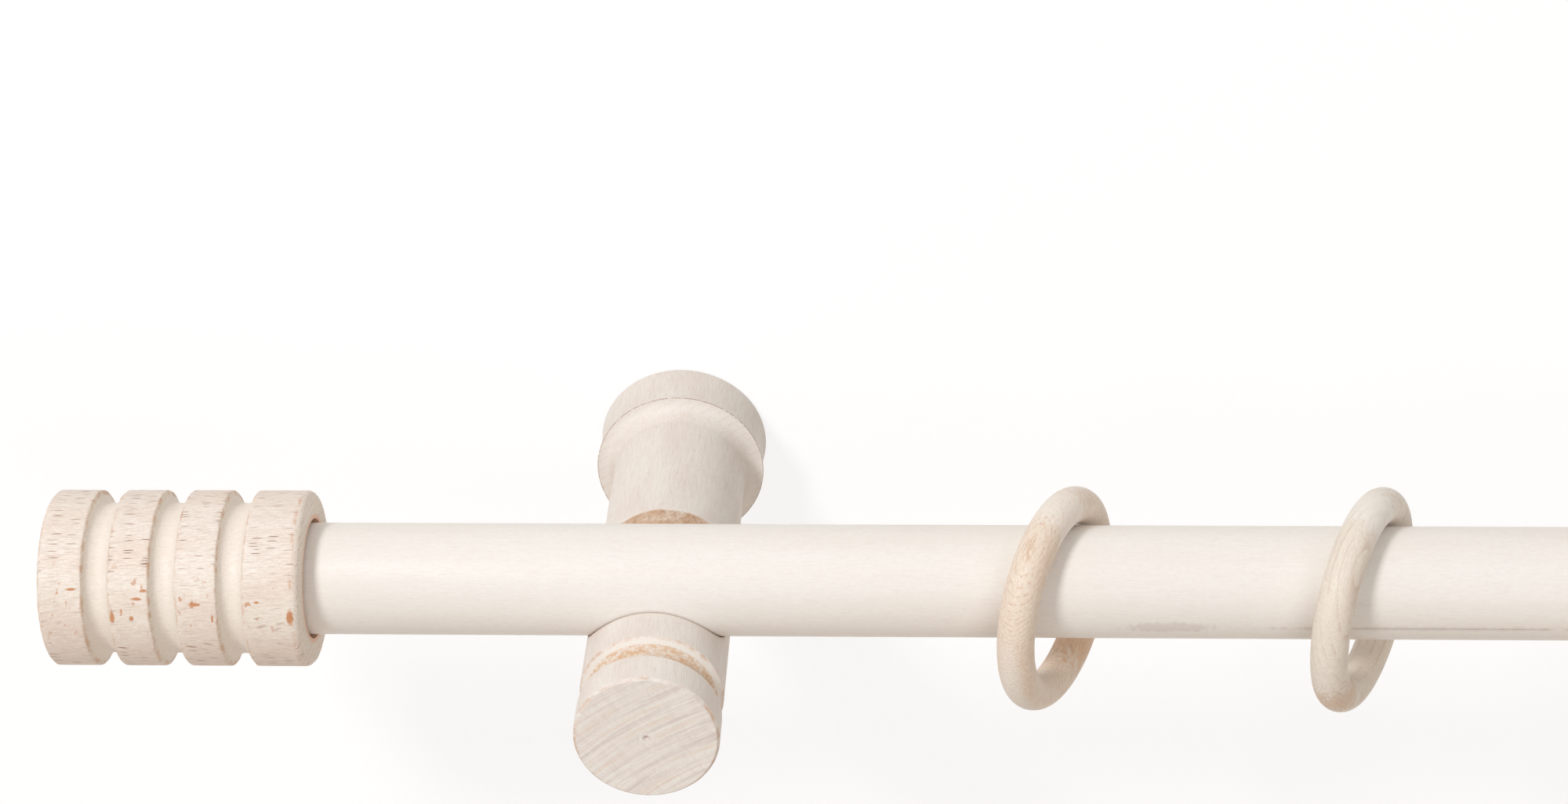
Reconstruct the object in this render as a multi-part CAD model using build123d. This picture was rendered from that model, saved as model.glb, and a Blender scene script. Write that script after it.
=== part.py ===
from build123d import *
import os
from math import sqrt

# Wooden curtain rod on two turned wall brackets, with end caps and loose rings.
# Sizes are in millimetres. X runs along the rod, Y into the wall, Z up.
# The origin lies on the wall, midway between the brackets, on the axis of the posts.

# Rod
rod_diameter = 28.0
rod_length = 1000.0
rod_edge_break = 0.6
rod_standoff = 95.4  # wall to rod axis

# Clearances
loose_gap = 0.3  # between pieces that move on each other
seat_gap = 0.06  # between pieces fixed in each other
corner_reach = 0.01  # how near an outline's vertex lies to a corner it is listed as

# End caps
cap_diameter = 44.1
cap_length = 64.6
cap_first_band = 11.0  # plain band at the outer end
cove_width = 6.5
cove_pitch = 16.65
cove_count = 3
cap_edge_break = 0.6
cap_rim_round = 1.8
socket_depth = 30.0
socket_mouth_width = 0.8  # how far the mouth stands back from the socket wall
socket_mouth_depth = 6.0

# Bracket posts, from the wall outwards
bracket_inset = 116.0  # rod end to post axis
flange_diameter = 45.6
flange_thickness = 15.5
flange_waist = 0.4  # how far the flange's rim is hollowed
flange_cove = 4.0
post_diameter = 35.7
post_nose = 41.8  # rod axis to front face
groove_offset = 24.2  # rod axis to the near edge of each groove
groove_width = 8.0
groove_depth = 2.5
post_edge_break = 0.7
band_edge_round = 0.5
centre_mark_diameter = 1.8
centre_mark_depth = 0.9

# Wall fixing of each post
bolt_diameter = 6.0
bolt_thread_pitch = 2.0
bolt_thread_depth = 0.7
bolt_point = 5.0
bolt_setback = 5.0  # inner end of the insert to the inner end of the bolt
insert_diameter = 10.0
insert_length = 16.0
insert_recess = 0.5
insert_hole_spare = 2.0
plug_diameter = 8.0
plug_length = 40.0
plug_slot_width = 1.0
plug_slot_length = 24.0
plug_tip_taper = 1.0
bolt_past_plug = 3.0

# Screw that holds the rod in each saddle
screw_diameter = 4.0
screw_thread_pitch = 1.6
screw_thread_depth = 0.5
screw_point = 2.5
screw_in_rod = 6.0
screw_head_diameter = 7.6
screw_head_height = 2.6
screw_slot_width = 1.0
screw_slot_depth = 1.2
screw_recess_diameter = 9.0
screw_recess_depth = 6.0

# Rings
ring_bore = 38.8
ring_thickness = 9.2
ring_count = 8
ring_first = 99.7  # left post axis to the first ring
ring_pitch = 76.0
ring_yaw = 25.7
ring_lean = 1.0

# Radii and places that follow from the sizes above
rod_radius = rod_diameter / 2
rod_height = post_diameter / 2  # the rod axis lies level with the top of the posts
seat_radius = rod_radius + loose_gap
bracket_x = rod_length / 2 - bracket_inset
sides = {"left": -1, "right": 1}
quarter_arc_share = sqrt(0.5)  # how far the middle of a quarter arc lies along each of its legs


def turned_face(start, *steps):
    """Close an outline: a step is a point for a line, or a middle and an end point for an arc."""
    edges = []
    here = start
    for step in steps + (start,):
        if isinstance(step[0], tuple):
            edges.append(ThreePointArc(here, *step))
            here = step[1]
        else:
            edges.append(Line(here, step))
            here = step
    return make_face(edges)


def round_corners(face, corners, radius):
    """Round the listed corners of a turned outline."""
    places = [Vector(*corner) for corner in corners]
    listed = [
        vertex
        for vertex in face.vertices()
        if any((Vector(vertex) - place).length < corner_reach for place in places)
    ]
    return fillet(listed, radius)


def upright(radius, bottom, top):
    """Cylinder along Z between two heights."""
    return Pos(Z=bottom) * Cylinder(radius, top - bottom, align=(Align.CENTER, Align.CENTER, Align.MIN))


def thread_steps(start, end, crest, depth, pitch):
    """Zigzag outline of a thread from start to end, whose turns fill the length."""
    root = crest - depth
    turns = max(1, round((end - start) / pitch))
    turn_length = (end - start) / turns
    steps = [(root, start)]
    for turn in range(turns):
        low = start + turn * turn_length
        steps += [(crest, low + turn_length / 2), (root, low + turn_length)]
    return steps


def at_rod(x):
    """Place on the rod axis."""
    return Pos(x, -rod_standoff, rod_height)


def make_rod():
    """Round rod with a blind hole over each pole screw."""
    rod = Rot(Y=90) * Cylinder(rod_radius, rod_length)
    rod = chamfer(rod.edges().filter_by(GeomType.CIRCLE), rod_edge_break)
    hole_radius = screw_diameter / 2 + loose_gap
    hole_top = screw_in_rod + loose_gap - rod_radius
    for side in sides.values():
        rod -= Pos(X=side * bracket_x) * upright(hole_radius, -rod_diameter, hole_top)
    return at_rod(0) * rod


def make_cap():
    """Turned cap with its outer end at the origin and its socket open towards +X."""
    radius = cap_diameter / 2
    rim = radius - cap_rim_round
    corner = rim + cap_rim_round * quarter_arc_share
    mouth = seat_radius + socket_mouth_width
    steps = [(0, radius - cap_edge_break), (cap_edge_break, radius)]
    band_edges = []
    for cove in range(cove_count):
        low = cap_first_band + cove * cove_pitch
        high = low + cove_width
        bottom = ((low + high) / 2, radius - cove_width / 2)
        steps += [(low, radius), (bottom, (high, radius))]
        band_edges += [(low, radius), (high, radius)]
    steps += [
        (cap_length - cap_rim_round, radius),
        ((cap_length - radius + corner, corner), (cap_length, rim)),
        (cap_length, mouth),
        (cap_length - socket_mouth_depth, mouth),
        (cap_length - socket_mouth_depth, seat_radius),
        (cap_length - socket_depth, seat_radius),
        (cap_length - socket_depth, 0),
    ]
    face = round_corners(turned_face((0, 0), *steps), band_edges, band_edge_round)
    return revolve(face, Axis.X)


def post_outline():
    """Half outline of a post: radius along X, wall at Y=0, front end towards -Y."""
    flange = flange_diameter / 2
    post = post_diameter / 2
    front = -(rod_standoff + post_nose)
    cove_end = -(flange_thickness + flange_cove)
    cove_middle = (flange - (flange - post) * quarter_arc_share, cove_end + flange_cove * quarter_arc_share)
    waist_middle = (flange - flange_waist, -(post_edge_break + flange_thickness) / 2)
    rear_groove = (-(rod_standoff - groove_offset - groove_width), -(rod_standoff - groove_offset))
    front_groove = (-(rod_standoff + groove_offset), -(rod_standoff + groove_offset + groove_width))
    bottom = post - groove_depth
    face = turned_face(
        (0, 0),
        (flange - post_edge_break, 0),
        (flange, -post_edge_break),
        (waist_middle, (flange, -flange_thickness)),
        (cove_middle, (post, cove_end)),
        (post, rear_groove[0]),
        ((bottom, sum(rear_groove) / 2), (post, rear_groove[1])),
        (post, front_groove[0]),
        ((bottom, sum(front_groove) / 2), (post, front_groove[1])),
        (post, front + post_edge_break),
        (post - post_edge_break, front),
        (centre_mark_diameter / 2, front),
        (0, front + centre_mark_depth),
    )
    edges = [(post, edge) for edge in rear_groove + front_groove]
    return round_corners(face, edges, band_edge_round)


def make_post():
    """Turned post on the Y axis with its saddle, insert hole and screw hole."""
    post = revolve(post_outline(), Axis.Y)
    post -= at_rod(0) * Rot(Y=90) * Cylinder(seat_radius, 2 * post_diameter)
    hole_radius = insert_diameter / 2 + seat_gap
    post -= Rot(X=90) * upright(hole_radius, 0, insert_recess + insert_length + insert_hole_spare)
    underside = -post_diameter / 2
    screw_way = upright(screw_diameter / 2 + seat_gap, underside, rod_height)
    screw_way += upright(screw_recess_diameter / 2, 2 * underside, underside + screw_recess_depth)
    return post - Pos(Y=-rod_standoff) * screw_way


def make_insert():
    """Brass bush in the back of the post."""
    bore = bolt_diameter / 2 + seat_gap
    bush = upright(insert_diameter / 2, insert_recess, insert_recess + insert_length)
    bush -= upright(bore, 0, insert_recess + insert_length + seat_gap)
    return Rot(X=90) * bush


def make_bolt():
    """Threaded stud from the insert to past the end of the wall plug, pointed in the wall."""
    crest = bolt_diameter / 2
    start = -(insert_recess + insert_length - bolt_setback)
    point_start = plug_length + bolt_past_plug - bolt_point
    steps = thread_steps(start, point_start, crest, bolt_thread_depth, bolt_thread_pitch)
    face = turned_face((0, start), *steps, (0, point_start + bolt_point))
    return revolve(face, Axis.Y)


def make_plug():
    """Nylon sleeve in the wall, slotted towards its inner end."""
    bore = bolt_diameter / 2 + seat_gap
    radius = plug_diameter / 2
    taper_start = plug_length - plug_tip_taper
    wall = (radius - bore) / 2
    tip = [(radius, taper_start), (radius - wall, plug_length), (bore, plug_length)]
    face = turned_face((bore, 0), (radius, 0), *tip)
    plug = revolve(face, Axis.Y)
    slot = Box(plug_slot_width, plug_slot_length, 2 * plug_diameter)
    return plug - Pos(Y=plug_length - plug_slot_length / 2) * slot


def make_screw():
    """Slotted screw standing under the rod, its point in the rod's blind hole."""
    crest = screw_diameter / 2
    head = screw_head_diameter / 2
    head_top = screw_recess_depth - post_diameter / 2
    head_bottom = head_top - screw_head_height
    tip = rod_height - rod_radius + screw_in_rod
    point_start = tip - screw_point
    steps = thread_steps(head_top, point_start, crest, screw_thread_depth, screw_thread_pitch)
    face = turned_face((0, head_bottom), (head, head_bottom), (head, head_top), *steps, (0, tip))
    screw = Rot(X=90) * revolve(face, Axis.Y)
    slot = Box(screw_head_diameter, screw_slot_width, 2 * screw_slot_depth)
    return Pos(Y=-rod_standoff) * (screw - Pos(Z=head_bottom) * slot)


def make_ring(x):
    """Wooden ring hanging on the rod, turned a little out of square."""
    middle = (ring_bore + ring_thickness) / 2
    drop = ring_bore / 2 - rod_radius - loose_gap
    ring = Rot(Z=-ring_yaw) * Rot(Y=90 - ring_lean) * Torus(middle, ring_thickness / 2)
    return at_rod(x) * Pos(Z=-drop) * ring


def make_parts():
    """Every piece by its node name."""
    parts = {"rod": make_rod()}
    fixed = {
        "bracket_post": make_post(),
        "threaded_insert": make_insert(),
        "hanger_bolt": make_bolt(),
        "wall_plug": make_plug(),
        "pole_screw": make_screw(),
    }
    cap = Pos(X=-(rod_length / 2 + cap_length - socket_depth)) * make_cap()
    for side, sign in sides.items():
        parts[f"end_cap_{side}"] = at_rod(0) * (cap if sign < 0 else Rot(Z=180) * cap)
        for name, piece in fixed.items():
            parts[f"{name}_{side}"] = Pos(X=sign * bracket_x) * piece
    for number in range(ring_count):
        parts[f"ring_{number + 1}"] = make_ring(ring_first + number * ring_pitch - bracket_x)
    return parts


os.makedirs("parts", exist_ok=True)
for node, shape in make_parts().items():
    shape.label = node
    export_step(shape, f"parts/{node}.step")
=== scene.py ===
"""Looks of a bleached beech curtain rod, its end caps and rings, on two turned wall brackets."""

import logging
import math
from collections.abc import Callable, Sequence
from dataclasses import dataclass, replace
from enum import Enum
from functools import reduce

import bmesh
import bpy
from mathutils import Color, Euler, Matrix, Vector, noise


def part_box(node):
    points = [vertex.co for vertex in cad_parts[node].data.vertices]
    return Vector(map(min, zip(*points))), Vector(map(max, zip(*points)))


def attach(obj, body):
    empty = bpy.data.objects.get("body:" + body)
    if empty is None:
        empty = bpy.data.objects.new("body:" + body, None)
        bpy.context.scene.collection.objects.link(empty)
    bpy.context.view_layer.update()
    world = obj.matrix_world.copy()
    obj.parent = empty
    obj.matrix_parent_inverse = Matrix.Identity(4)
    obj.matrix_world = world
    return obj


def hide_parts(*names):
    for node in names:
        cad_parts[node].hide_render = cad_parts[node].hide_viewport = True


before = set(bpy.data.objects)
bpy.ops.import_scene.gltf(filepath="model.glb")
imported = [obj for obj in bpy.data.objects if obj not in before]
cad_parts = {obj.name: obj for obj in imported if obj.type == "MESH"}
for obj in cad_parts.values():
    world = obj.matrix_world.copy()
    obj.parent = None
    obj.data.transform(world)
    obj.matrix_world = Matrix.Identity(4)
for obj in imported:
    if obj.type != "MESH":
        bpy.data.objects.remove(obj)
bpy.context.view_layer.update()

log = logging.getLogger("curtain_rod")

Triple = tuple[float, float, float]
Colour = tuple[float, float, float, float]
Pair = tuple[float, float]
Point = tuple[float, float]

MM = 0.001
FULL_LEVEL = 255
NOISE_MIDDLE = 0.5
RING_COUNT = 8
TURN_STEPS = 180
SHARP_ANGLE = 35.0
WHITE: Colour = (1.0, 1.0, 1.0, 1.0)
ROD_WAY: Triple = (1.0, 0.0, 0.0)
ORIGIN: Triple = (0.0, 0.0, 0.0)


class Side(Enum):
    """The two ends of the rod, by the sign of their place along it."""

    LEFT = -1
    RIGHT = 1

    @property
    def word(self) -> str:
        """Ending of the names of the pieces on this side."""
        return self.name.lower()


@dataclass(frozen=True)
class Span:
    """Two values between which a level climbs."""

    low: float
    high: float


@dataclass(frozen=True)
class Lump:
    """Size of the lumps of a noise in millimetres, along the grain and across it."""

    along: float
    across: float
    detail: float = 2.0


def paint(red: int, green: int, blue: int) -> Colour:
    """Turn display levels from 0 to 255 into the linear colour that a shader takes."""
    shares = [level / FULL_LEVEL for level in (red, green, blue)]
    return (*Color(shares).from_srgb_to_scene_linear(), 1.0)


FLECK = paint(146, 92, 58)
FLAKE = paint(206, 140, 94)
LINE = paint(214, 186, 166)
ASH = paint(206, 192, 190)
PEACH = paint(238, 214, 192)
CHALK = paint(251, 248, 244)
CRACK = paint(158, 142, 128)


class Wire:
    """An output socket of a node graph that takes part in Python arithmetic."""

    def __init__(self, graph: "Graph", socket: bpy.types.NodeSocket) -> None:
        """Wrap one output socket of a graph."""
        self.graph = graph
        self.socket = socket

    def twin(self, output: int | str) -> "Wire":
        """Another output of the same node."""
        return Wire(self.graph, self.socket.node.outputs[output])

    def math(self, operation: str, *terms: "Wire | float") -> "Wire":
        """Add a Math node over the given terms."""
        return self.graph.node("ShaderNodeMath", {"operation": operation}, dict(enumerate(terms)))

    def __add__(self, other: "Wire | float") -> "Wire":
        """Sum of two values."""
        return self.math("ADD", self, other)

    __radd__ = __add__

    def __sub__(self, other: "Wire | float") -> "Wire":
        """Difference of two values."""
        return self.math("SUBTRACT", self, other)

    def __rsub__(self, other: float) -> "Wire":
        """Difference of a number and this value."""
        return self.math("SUBTRACT", other, self)

    def __mul__(self, other: "Wire | float") -> "Wire":
        """Product of two values."""
        return self.math("MULTIPLY", self, other)

    __rmul__ = __mul__

    def __truediv__(self, other: "Wire | float") -> "Wire":
        """Quotient of two values."""
        return self.math("DIVIDE", self, other)

    def __pow__(self, power: float) -> "Wire":
        """This value raised to a power."""
        return self.math("POWER", self, power)

    def __abs__(self) -> "Wire":
        """This value without its sign."""
        return self.math("ABSOLUTE", self)

    def most(self, other: "Wire | float") -> "Wire":
        """Greater of two values."""
        return self.math("MAXIMUM", self, other)

    def least(self, other: "Wire | float") -> "Wire":
        """Smaller of two values."""
        return self.math("MINIMUM", self, other)

    def angle(self, other: "Wire") -> "Wire":
        """Angle whose tangent is this value over the other."""
        return self.math("ARCTAN2", self, other)

    def rest(self) -> "Wire":
        """What is left of this value after whole numbers."""
        return self.math("FRACT", self)

    def rise(self, span: Span) -> "Wire":
        """Climb smoothly from 0 at the low end of a span to 1 at its high end."""
        sockets = {"Value": self, "From Min": span.low, "From Max": span.high}
        return self.graph.node("ShaderNodeMapRange", {"interpolation_type": "SMOOTHSTEP"}, sockets)

    def fall(self, span: Span) -> "Wire":
        """Drop smoothly from 1 at the low end of a span to 0 at its high end."""
        return 1 - self.rise(span)


Coat = tuple[Wire, Colour]

# Numbers of a Mix node's colour sockets, which share their names with others
MIX_LOW = 6
MIX_HIGH = 7
MIX_RESULT = 2


class Graph:
    """A node tree, with the few node forms that the finishes share."""

    def __init__(self, tree: bpy.types.NodeTree) -> None:
        """Empty a tree and take it over."""
        self.tree = tree
        self.tree.nodes.clear()

    def node(
        self,
        kind: str,
        settings: dict[str, object] | None = None,
        sockets: dict[int | str, object] | None = None,
        output: int | str = 0,
    ) -> Wire | None:
        """Add a node of any type.

        Args:
            kind: Type name of the node.
            settings: Its properties, set first.
            sockets: Values or wires of its inputs, by name or number.
            output: Name or number of the output that is wanted.

        Returns:
            The wanted output, or None for a node that has no outputs.
        """
        made = self.tree.nodes.new(kind)
        for name, setting in (settings or {}).items():
            setattr(made, name, setting)
        for key, value in (sockets or {}).items():
            target = made.inputs[key]
            if isinstance(value, Wire):
                self.tree.links.new(value.socket, target)
            else:
                target.default_value = value
        return Wire(self, made.outputs[output]) if made.outputs else None

    def place(self) -> Wire:
        """Point on the surface, in the row frame at rest, in metres."""
        return self.node("ShaderNodeTexCoord", output="Object")

    def offset(self, origin: Sequence[float]) -> Wire:
        """Vector from a point to the surface."""
        return self.vector("SUBTRACT", self.place(), tuple(origin))

    def facing(self, direction: Vector) -> Wire:
        """How squarely the surface looks along a direction, whichever way round."""
        return abs(self.dot(self.node("ShaderNodeTexCoord", output="Normal"), direction))

    def vector(self, operation: str, *terms: object) -> Wire:
        """Add a Vector Math node over the given terms."""
        return self.node("ShaderNodeVectorMath", {"operation": operation}, dict(enumerate(terms)))

    def dot(self, one: Wire, other: Sequence[float]) -> Wire:
        """Dot product of a vector and a direction."""
        return self.vector("DOT_PRODUCT", one, tuple(other)).twin("Value")

    def length(self, arrow: Wire) -> Wire:
        """Length of a vector."""
        return self.vector("LENGTH", arrow).twin("Value")

    def off_axis(self, origin: Sequence[float], axis: Triple) -> Wire:
        """Distance of the surface from the axis through a point."""
        return self.length(self.vector("CROSS_PRODUCT", self.offset(origin), axis))

    def join(self, *parts: Wire) -> Wire:
        """Vector of three values."""
        return self.node("ShaderNodeCombineXYZ", None, dict(enumerate(parts)))

    def noise(self, *parts: Wire, detail: float = 2.0) -> Wire:
        """Soft noise over three coordinates, one unit to a lump."""
        sockets = {"Vector": self.join(*parts), "Scale": 1.0, "Detail": detail}
        return self.node("ShaderNodeTexNoise", None, sockets, "Fac")

    def cells(self, *parts: Wire) -> tuple[Wire, Wire]:
        """Scatter one seed to a unit of three coordinates.

        Args:
            parts: The three coordinates.

        Returns:
            Distance to the nearest seed, and that seed's own chance from 0 to 1.
        """
        sockets = {"Vector": self.join(*parts), "Scale": 1.0}
        distance = self.node("ShaderNodeTexVoronoi", None, sockets, "Distance")
        return distance, self.node("ShaderNodeSeparateColor", None, {0: distance.twin("Color")})

    def blend(self, share: Wire | float, low: Wire | Colour, high: Wire | Colour) -> Wire:
        """Mix two colours by a share of the second."""
        settings = {"data_type": "RGBA", "clamp_factor": True}
        return self.node("ShaderNodeMix", settings, {0: share, MIX_LOW: low, MIX_HIGH: high}, MIX_RESULT)

    def coat(self, tone: Wire, coats: Sequence[Coat]) -> Wire:
        """Lay coats over a tone, each with its share and its colour."""
        return reduce(lambda below, coat: self.blend(coat[0], below, coat[1]), coats, tone)

    def shift(self, share: Wire | float, one: Wire, other: Wire) -> Wire:
        """Mix two shaders by a share of the second."""
        return self.node("ShaderNodeMixShader", None, {0: share, 1: one, 2: other})

    def bump(self, height: Wire, depth: float) -> Wire:
        """Normal of a surface with small relief of a depth in metres."""
        return self.node("ShaderNodeBump", None, {"Height": height, "Distance": depth, "Strength": 1.0})

    def finish(self, sockets: dict[str, object]) -> None:
        """Send a Principled shader with these sockets to the surface."""
        self.close(self.node("ShaderNodeBsdfPrincipled", None, sockets))

    def close(self, shader: Wire, kind: str = "Material") -> None:
        """Send a shader to the surface of a material or of the world."""
        self.node(f"ShaderNodeOutput{kind}", None, {"Surface": shader})

    def seen(self) -> Wire:
        """1 for rays that show a background, 0 for rays that light the object."""
        camera = self.node("ShaderNodeLightPath", output="Is Camera Ray")
        return camera.most(camera.twin("Is Glossy Ray")).most(camera.twin("Is Transmission Ray"))


def new_material(name: str) -> tuple[bpy.types.Material, Graph]:
    """Make an empty node material.

    Args:
        name: Name of the material.

    Returns:
        The material and its graph.
    """
    material = bpy.data.materials.new(name)
    material.use_nodes = True
    return material, Graph(material.node_tree)


def new_object(name: str, mesh: bmesh.types.BMesh) -> bpy.types.Object:
    """Turn a finished mesh into an object of the scene.

    Args:
        name: Name of the object.
        mesh: Its mesh, which is freed.

    Returns:
        The object.
    """
    data = bpy.data.meshes.new(name)
    mesh.to_mesh(data)
    mesh.free()
    made = bpy.data.objects.new(name, data)
    bpy.context.scene.collection.objects.link(made)
    return made


def cover(node: str, material: bpy.types.Material) -> None:
    """Put one finish on every slot of a node.

    Args:
        node: Name of the node.
        material: Its finish.
    """
    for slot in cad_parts[node].material_slots:
        slot.material = material
    log.info("%s wears %s", node, material.name)


@dataclass(frozen=True)
class Cut:
    """How a piece lies in the log it was cut from.

    Attributes:
        grain: Direction of the fibres.
        outward: Direction from the pith to the piece; only its part square to the grain counts.
        depth: Distance from the pith to the middle of the piece, in millimetres.
    """

    grain: Sequence[float]
    outward: Sequence[float]
    depth: float

    def axes(self) -> tuple[Vector, Vector, Vector]:
        """Set up the log's own axes.

        Returns:
            Directions along the grain, outward from the pith and across both.
        """
        grain = Vector(self.grain).normalized()
        outward = Vector(self.outward)
        outward = (outward - outward.dot(grain) * grain).normalized()
        return grain, outward, grain.cross(outward)


class LogPlace:
    """Place of a surface in its log, in millimetres."""

    # Share of a wave of the growth layers that shifts the rays sideways
    turn_share = 0.4

    def __init__(self, graph: Graph, middle: Vector, cut: Cut, sway: Lump, drift: float) -> None:
        """Measure a place from the pith.

        Args:
            graph: Graph that needs the place.
            middle: Middle of the piece, in metres.
            cut: How the piece lies in the log.
            sway: Size of the waves of the growth layers.
            drift: Height of those waves, in millimetres.
        """
        self.graph = graph
        self.axes = cut.axes()
        offset = graph.offset(middle - self.axes[1] * cut.depth * MM)
        self.along, self.out, self.across = (graph.dot(offset, axis / MM) for axis in self.axes)
        wave = drift * (self.noise(sway) - NOISE_MIDDLE)
        self.depth = (self.out * self.out + self.across * self.across) ** 0.5 + wave
        self.turn = self.across.angle(self.out) * cut.depth + self.turn_share * wave

    def noise(self, lump: Lump) -> Wire:
        """Noise that is long along the grain."""
        parts = (self.along / lump.along, self.out / lump.across, self.across / lump.across)
        return self.graph.noise(*parts, detail=lump.detail)

    def layers(self, length: float, thickness: float) -> Wire:
        """Noise in streaks along the growth layers, as an end face shows them."""
        return self.graph.noise(self.turn / length, self.depth / thickness, self.along / length)

    def crossing(self, length: float, thickness: float) -> Wire:
        """Noise in streaks across the growth layers."""
        return self.graph.noise(self.turn / thickness, self.depth / length, self.along / length)

    def rays(self, length: float, width: float, depth: float) -> tuple[Wire, Wire]:
        """Seeds of rays of a length along the grain, a width and a depth."""
        return self.graph.cells(self.along / length, self.turn / width, self.depth / depth)

    def plates(self, length: float, width: float, depth: float) -> Wire:
        """Noise in plates of a length along the grain, a width and a depth."""
        return self.graph.noise(self.along / length, self.turn / width, self.depth / depth)

    def vessels(self, length: float, width: float) -> Wire:
        """Distance to the nearest of the vessels that run along the grain."""
        return self.graph.cells(self.along / length, self.out / width, self.across / width)[0]


@dataclass(frozen=True)
class Mark:
    """A scar or stain: an egg-shaped region of space that tints the surface it cuts.

    Attributes:
        centre: Its middle, in metres.
        reach: Its half lengths along X, Y and Z, in metres.
        tone: Its colour.
        strength: Share of that colour in its middle.
        ragged: How far its rim wanders, as a share of its reach.
        fade: Shares of its reach between which it fades out.
    """

    centre: Sequence[float]
    reach: Triple
    tone: Colour
    strength: float
    ragged: float
    fade: Span = Span(0.6, 1.0)

    def coat(self, graph: Graph, wander: Wire) -> Coat:
        """Make the coat that tints a surface.

        Args:
            graph: Graph of the surface.
            wander: Noise that the rim follows.

        Returns:
            Share and colour of the coat.
        """
        share = graph.length(graph.vector("DIVIDE", graph.offset(self.centre), self.reach))
        inside = (share + self.ragged * (wander - NOISE_MIDDLE)).fall(self.fade)
        return self.strength * inside, self.tone


@dataclass(frozen=True)
class Relief:
    """Edges, hollows and raw places of a turned piece, as distances along its axis in metres.

    Attributes:
        axis: Direction of the turning axis.
        start: Point on the axis where the piece starts.
        length: Length of the piece.
        rim: Radius of the bands, which the wear stays on.
        edges: Distances of the sharp edges.
        hollows: Distances of the two sides of each hollow.
        raws: Distances of the two sides of each stretch that the wash has missed in places.
        bare_and_shade_stretches: Distances of the two sides of each stretch that it has missed altogether,
            whose bare tone is also painted shade.
        seams: Distances and radii of thin dark lines around the piece.
        bore: Radius of the socket's tone, raw wood browned further as painted shade in the bore, which lies
            in the far half of the piece.
        seat: Point on the rod's axis, where the piece has a saddle for the rod.
        seat_radius: Radius of that saddle.
        sawn: Whether the far end is a sawn face with the print of a lathe centre.
        reach: How far wear reaches from an edge.
        soft: Width over which one zone passes into the next.
        hair: Half width of a seam.
        print_ring: Radius of the lathe centre's print.
        bore_zone: Shares of the length between which the socket's tone, raw wood and painted shade, starts.
        pit_zone: Shares of the length between which the lathe centre's pit starts.
    """

    axis: Triple
    start: Sequence[float]
    length: float
    rim: float
    edges: tuple[float, ...]
    hollows: tuple[Pair, ...]
    raws: tuple[Pair, ...] = ()
    bare_and_shade_stretches: tuple[Pair, ...] = ()
    seams: tuple[Point, ...] = ()
    bore: float = 0.0
    seat: Sequence[float] | None = None
    seat_radius: float = 0.0
    sawn: bool = False
    reach: float = 0.8 * MM
    soft: float = 0.4 * MM
    hair: float = 0.3 * MM
    print_ring: float = 1.5 * MM
    bore_zone: Span = Span(0.4, 0.5)
    pit_zone: Span = Span(0.98, 0.99)


class TurnedPlace:
    """Place of a surface on a turned piece, with the levels that its relief sets."""

    def __init__(self, graph: Graph, relief: Relief) -> None:
        """Measure a place along the turning axis and out from it.

        Args:
            graph: Graph that needs the place.
            relief: Edges, hollows and raw places of the piece.
        """
        self.graph = graph
        self.relief = relief
        self.along = graph.dot(graph.offset(relief.start), relief.axis)
        self.out = graph.off_axis(relief.start, relief.axis)

    def within(self, distance: Wire, edge: float) -> Wire:
        """Level that is 1 at distances up to an edge and passes to 0 beyond it."""
        return distance.fall(Span(edge, edge + self.relief.soft))

    def beyond(self, share: Span) -> Wire:
        """Level that climbs to 1 between two shares of the length."""
        return (self.along / self.relief.length).rise(share)

    def wear(self) -> Wire:
        """Find the rubbed edges.

        Returns:
            Level that is 1 on an edge of the bands and 0 away from it.
        """
        reach, rim = self.relief.reach, self.relief.rim
        nearest = reduce(Wire.least, [abs(self.along - edge) for edge in self.relief.edges])
        return nearest.fall(Span(0.0, reach)) * self.out.rise(Span(rim - 2 * reach, rim - reach))

    def plateau(self, stretches: Sequence[Pair]) -> Wire:
        """Find some stretches of the axis.

        Args:
            stretches: Distances of the two sides of each.

        Returns:
            Level that is 1 within the stretches and 0 outside them.
        """
        levels = []
        for low, high in stretches:
            half = (high - low) / 2
            levels.append(self.within(abs(self.along - (low + half)), half - self.relief.soft))
        return reduce(Wire.most, levels)

    def seam(self) -> Wire:
        """Find the thin dark lines.

        Returns:
            Level that is 1 on a seam and 0 away from it.
        """
        points = self.relief.seams
        squares = [(self.along - place) ** 2.0 + (self.out - radius) ** 2.0 for place, radius in points]
        return (reduce(Wire.least, squares) ** 0.5).fall(Span(0.0, self.relief.hair))

    def socket(self) -> Wire:
        """Level that is 1 in the socket, whose tone is raw wood browned further as painted shade."""
        return self.within(self.out, self.relief.bore) * self.beyond(self.relief.bore_zone)

    def saddle(self) -> Wire:
        """Level that is 1 on the saddle, whose tone is raw wood and painted contact shade under the rod."""
        return self.within(self.graph.off_axis(self.relief.seat, ROD_WAY), self.relief.seat_radius)

    def far_end(self) -> Wire:
        """Level that is 1 on the face at the far end."""
        edge = self.relief.length - self.relief.soft
        return self.along.rise(Span(edge - self.relief.soft, edge))

    def print_ring(self) -> Wire:
        """Level that is 1 on the ring that the lathe centre has printed."""
        return self.within(abs(self.out - self.relief.print_ring), 0.0) * self.far_end()

    def print_pit(self) -> Wire:
        """Level that is 1 in the pit of the lathe centre."""
        edge = self.relief.print_ring - 2 * self.relief.soft
        return self.within(self.out, edge) * self.beyond(self.relief.pit_zone)


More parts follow.
